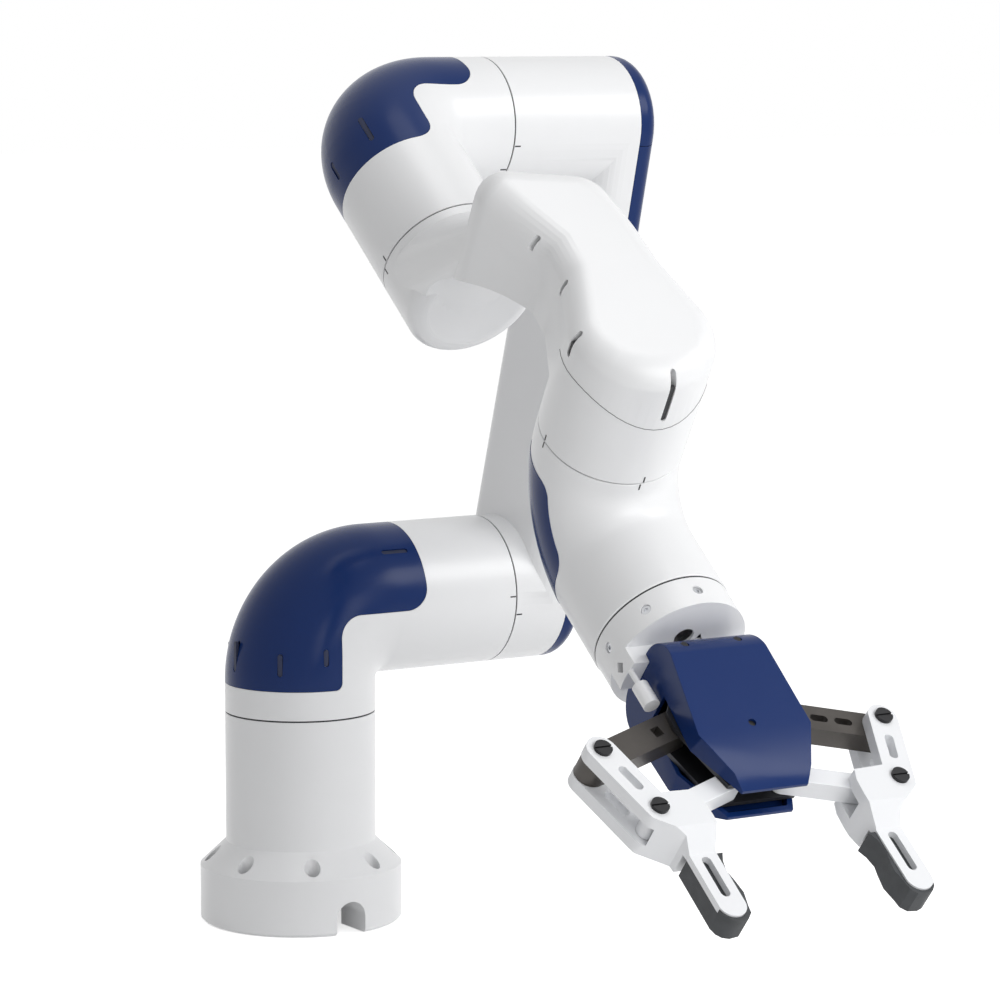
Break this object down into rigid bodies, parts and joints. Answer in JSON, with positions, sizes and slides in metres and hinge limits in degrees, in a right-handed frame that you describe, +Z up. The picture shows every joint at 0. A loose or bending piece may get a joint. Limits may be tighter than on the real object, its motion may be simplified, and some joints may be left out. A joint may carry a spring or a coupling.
{
  "type": "robot arm",
  "caption": "Six-axis collaborative robot arm on a round bolted foot, with bent tube links, covers and a parallel-linkage two-finger gripper.",
  "frame": {"origin": "centre of the foot flange's underside, on the first joint's axle", "axes": "+Z up along the first axle, +Y along the second axle from the column to the lower arm, +X the way the arm leans and reaches"},
  "size_m": [0.9278, 0.4254, 0.8133],
  "materials": {
    "white_paint": "satin white paint over an aluminium casting",
    "blue_cover": "gloss moulded plastic",
    "blue_plug": "matt, moulded dark blue",
    "seal": "matt",
    "drive_unit": null,
    "bare_metal": "machined",
    "dark_screw": "black oxide",
    "dark_frame": "black anodised",
    "link_metal": "dark anodised",
    "white_aluminium": "satin white coat on aluminium",
    "rubber_tip": "moulded, matt"
  },
  "bodies": {
    "base": {"base_housing": "white_paint", "j1_drive": "drive_unit", "j1_seal": "seal"},
    "shoulder": {"j1_output": "bare_metal", "shoulder_housing": "white_paint", "shoulder_cover": "blue_cover", "shoulder_plugs": "blue_plug", "j2_drive": "drive_unit", "j2_seal": "seal"},
    "lower_arm": {"j2_output": "bare_metal", "lower_arm_housing": "white_paint", "lower_arm_cover": "blue_cover", "elbow_cap": "blue_cover", "lower_arm_screws": "dark_screw", "j3_drive": "drive_unit", "j3_seal": "seal"},
    "elbow": {"j3_output": "bare_metal", "elbow_housing": "white_paint", "elbow_cover": "blue_cover", "elbow_plugs": "blue_plug", "j4_drive": "drive_unit", "j4_seal": "seal"},
    "forearm": {"j4_output": "bare_metal", "forearm_housing": "white_paint", "forearm_cover": "white_paint", "forearm_plugs": "seal", "j5_drive": "drive_unit", "j5_seal": "seal"},
    "wrist": {"j5_output": "bare_metal", "wrist_housing": "white_paint", "j6_drive": "drive_unit", "j6_seal": "seal"},
    "gripper": {"j6_output": "bare_metal", "tool_flange": "white_paint", "gripper_adapter": "white_paint", "adapter_screws": "bare_metal", "cable_connector": "white_paint", "gripper_frame": "dark_frame", "gripper_motor": "drive_unit", "gripper_front_cover": "blue_cover", "gripper_rear_cover": "blue_cover", "gripper_screws": "dark_screw"},
    "left_drive_link": {"left_drive_link": "link_metal"},
    "left_front_link": {"left_front_link": "white_aluminium"},
    "left_finger": {"left_bracket": "white_aluminium", "left_tip": "rubber_tip", "left_pivots": "dark_screw"},
    "right_drive_link": {"right_drive_link": "link_metal"},
    "right_front_link": {"right_front_link": "white_aluminium"},
    "right_finger": {"right_bracket": "white_aluminium", "right_tip": "rubber_tip", "right_pivots": "dark_screw"}
  },
  "joints": [
    {"name": "base_turn", "type": "hinge", "parent": "base", "child": "shoulder", "pos_m": [0, 0, 0.199], "axis": [0, 0, 1], "range_deg": [-175, 175]},
    {"name": "shoulder_turn", "type": "hinge", "parent": "shoulder", "child": "lower_arm", "pos_m": [0, 0.198, 0.3], "axis": [0, 1, 0], "range_deg": [-91, 49]},
    {"name": "elbow_turn", "type": "hinge", "parent": "lower_arm", "child": "elbow", "pos_m": [0.13113, 0.118, 0.75134], "axis": [0, 1, 0], "range_deg": [-243, 12]},
    {"name": "forearm_roll", "type": "hinge", "parent": "elbow", "child": "forearm", "pos_m": [0.26771, 0, 0.64034], "axis": [0.776, 0, -0.6307], "range_deg": [-180, 180]},
    {"name": "wrist_bend", "type": "hinge", "parent": "forearm", "child": "wrist", "pos_m": [0.49587, 0, 0.45492], "axis": [-0.6229, 0.1564, -0.7665], "range_deg": [-115, 115]},
    {"name": "tool_turn", "type": "hinge", "parent": "wrist", "child": "gripper", "pos_m": [0.59548, 0.00266, 0.35233], "axis": [0.776, 0, -0.6307], "range_deg": [-180, 180]},
    {"name": "finger_drive", "type": "hinge", "parent": "gripper", "child": "left_drive_link", "pos_m": [0.67828, -0.04404, 0.28504], "axis": [0.6307, 0, 0.776], "range_deg": [-15, 60]},
    {"name": "left_front_swing", "type": "hinge", "parent": "gripper", "child": "left_front_link", "pos_m": [0.72678, -0.02354, 0.24562], "axis": [0.6307, 0, 0.776], "range_deg": [-15, 60]},
    {"name": "left_finger_level", "type": "hinge", "parent": "left_drive_link", "child": "left_finger", "pos_m": [0.69984, -0.13489, 0.26752], "axis": [0.6307, 0, 0.776], "range_deg": [-60, 15]},
    {"name": "right_drive_swing", "type": "hinge", "parent": "gripper", "child": "right_drive_link", "pos_m": [0.67828, 0.04936, 0.28504], "axis": [0.6307, 0, 0.776], "range_deg": [-60, 15]},
    {"name": "right_front_swing", "type": "hinge", "parent": "gripper", "child": "right_front_link", "pos_m": [0.72678, 0.02886, 0.24562], "axis": [0.6307, 0, 0.776], "range_deg": [-60, 15]},
    {"name": "right_finger_level", "type": "hinge", "parent": "right_drive_link", "child": "right_finger", "pos_m": [0.69984, 0.14021, 0.26752], "axis": [0.6307, 0, 0.776], "range_deg": [-15, 60]}
  ],
  "couplings": [
    {"joint": "left_front_swing", "follows": "finger_drive", "ratio": 1},
    {"joint": "left_finger_level", "follows": "finger_drive", "ratio": -1},
    {"joint": "right_drive_swing", "follows": "finger_drive", "ratio": -1},
    {"joint": "right_front_swing", "follows": "finger_drive", "ratio": -1},
    {"joint": "right_finger_level", "follows": "finger_drive", "ratio": 1}
  ]
}
